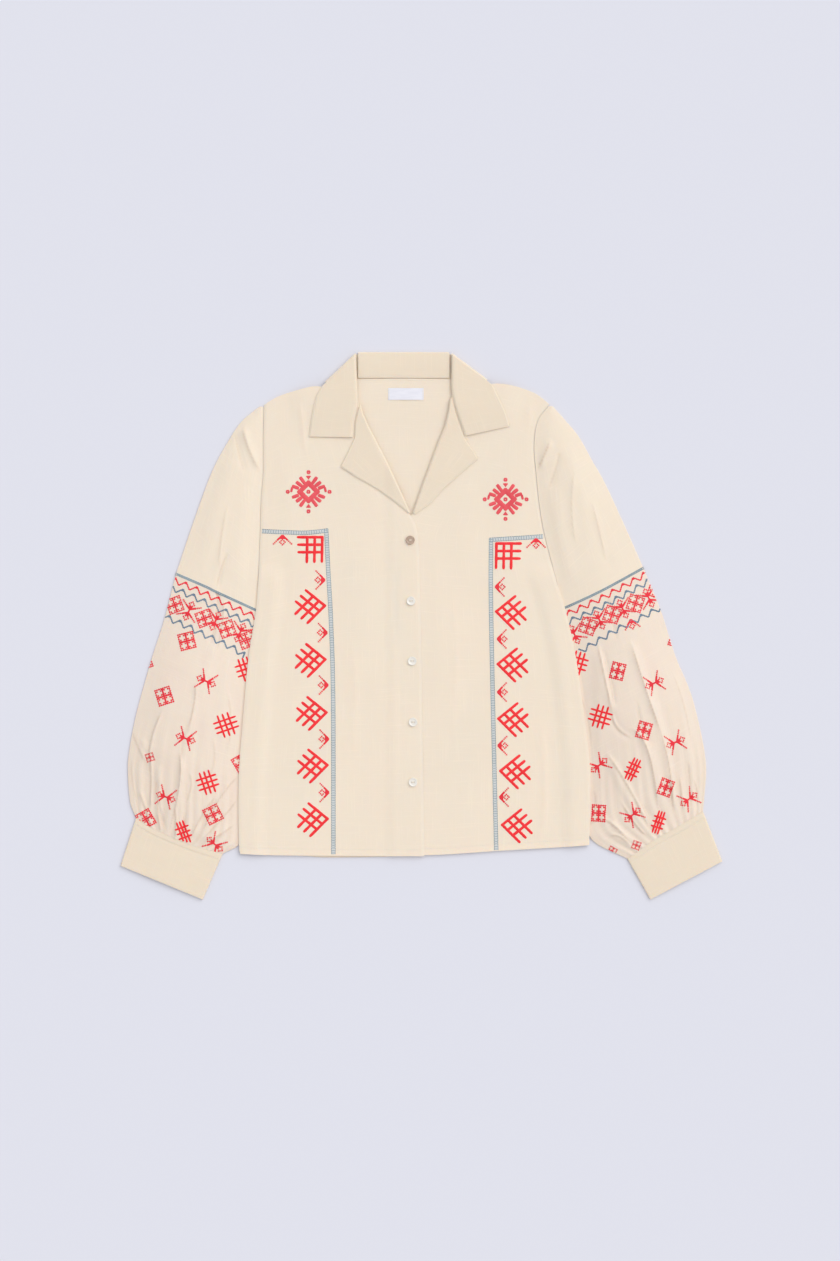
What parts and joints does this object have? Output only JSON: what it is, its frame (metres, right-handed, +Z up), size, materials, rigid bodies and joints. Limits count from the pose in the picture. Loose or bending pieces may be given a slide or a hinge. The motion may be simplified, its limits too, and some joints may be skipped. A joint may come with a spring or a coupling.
{
  "type": "embroidered blouse laid flat",
  "caption": "Long-sleeved cream blouse laid flat, with a notched camp collar, button front, folk embroidery, gathered puff sleeves and plain cuffs.",
  "frame": {"origin": "on the table under the middle of the garment's outline", "axes": "+X across the garment towards the wearer's left sleeve, +Y up towards the collar, +Z up off the table"},
  "size_m": [0.818, 0.744, 0.0208],
  "materials": {
    "cloth": "matt cream slub weave",
    "sleeve_cloth": "matt cream slub weave, embroidered",
    "label": "white satin",
    "button": "pearly shell"
  },
  "bodies": {
    "root": {"back": "cloth", "front_right": "cloth", "front_left": "cloth", "lapel_right": "cloth", "lapel_left": "cloth", "collar": "cloth", "collar_stand": "cloth", "sleeve_upper_right": "cloth", "sleeve_upper_left": "cloth", "sleeve_lower_right": "sleeve_cloth", "sleeve_lower_left": "sleeve_cloth", "cuff_right": "cloth", "cuff_left": "cloth", "neck_label": "label", "button_1": "button", "button_2": "button", "button_3": "button", "button_4": "button", "button_5": "button"}
  },
  "joints": []
}
